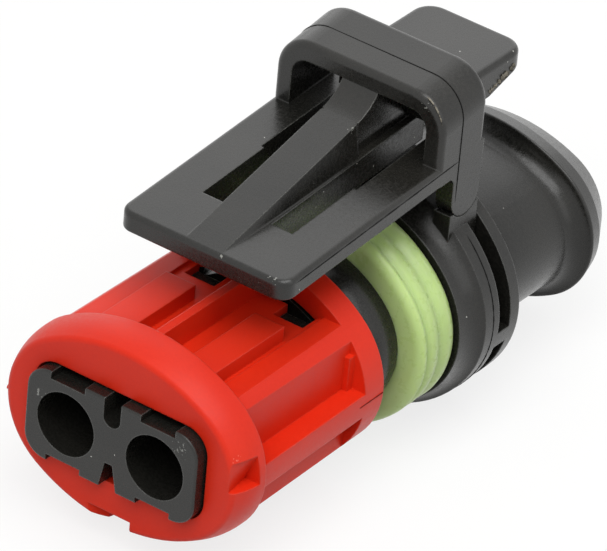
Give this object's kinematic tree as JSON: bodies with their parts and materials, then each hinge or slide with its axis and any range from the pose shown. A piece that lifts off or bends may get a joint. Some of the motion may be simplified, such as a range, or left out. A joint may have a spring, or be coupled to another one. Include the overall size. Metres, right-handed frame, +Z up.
{
  "type": "sealed electrical connector plug",
  "caption": "Sealed oval plug with pin bores in its nose, a sliding contact lock, a ribbed ring seal, a double flange, a press latch on an arch and an open wire socket at the rear.",
  "frame": {"origin": "centre of the contact block's mating face", "axes": "+X across the contacts to the right, +Y back along the plug towards the wires, +Z up towards the latch"},
  "size_m": [0.0168, 0.0371, 0.0223],
  "materials": {
    "black_plastic": "fine moulded matt",
    "red_plastic": "moulded satin",
    "seal_rubber": "satin silicone",
    "contact_metal": "tinned stamping",
    "spring_steel": "rolled strip"
  },
  "bodies": {
    "housing": {"housing": "black_plastic", "interface_seal": "seal_rubber", "contact_left": "contact_metal", "contact_right": "contact_metal", "contact_spring_left": "spring_steel", "contact_spring_right": "spring_steel", "wire_seal_left": "seal_rubber", "wire_seal_right": "seal_rubber"},
    "lock": {"secondary_lock": "red_plastic"},
    "latch": {"latch_lever": "black_plastic"}
  },
  "joints": [
    {"name": "lock_slide", "type": "slide", "parent": "housing", "child": "lock", "axis": [0, -1, 0], "range_m": [0, 0.002]},
    {"name": "latch_hinge", "type": "hinge", "parent": "housing", "child": "latch", "pos_m": [0, 0.02375, 0.00751], "axis": [-1, 0, 0], "range_deg": [0, 8], "stiffness_Nm_per_rad": 0.03}
  ]
}
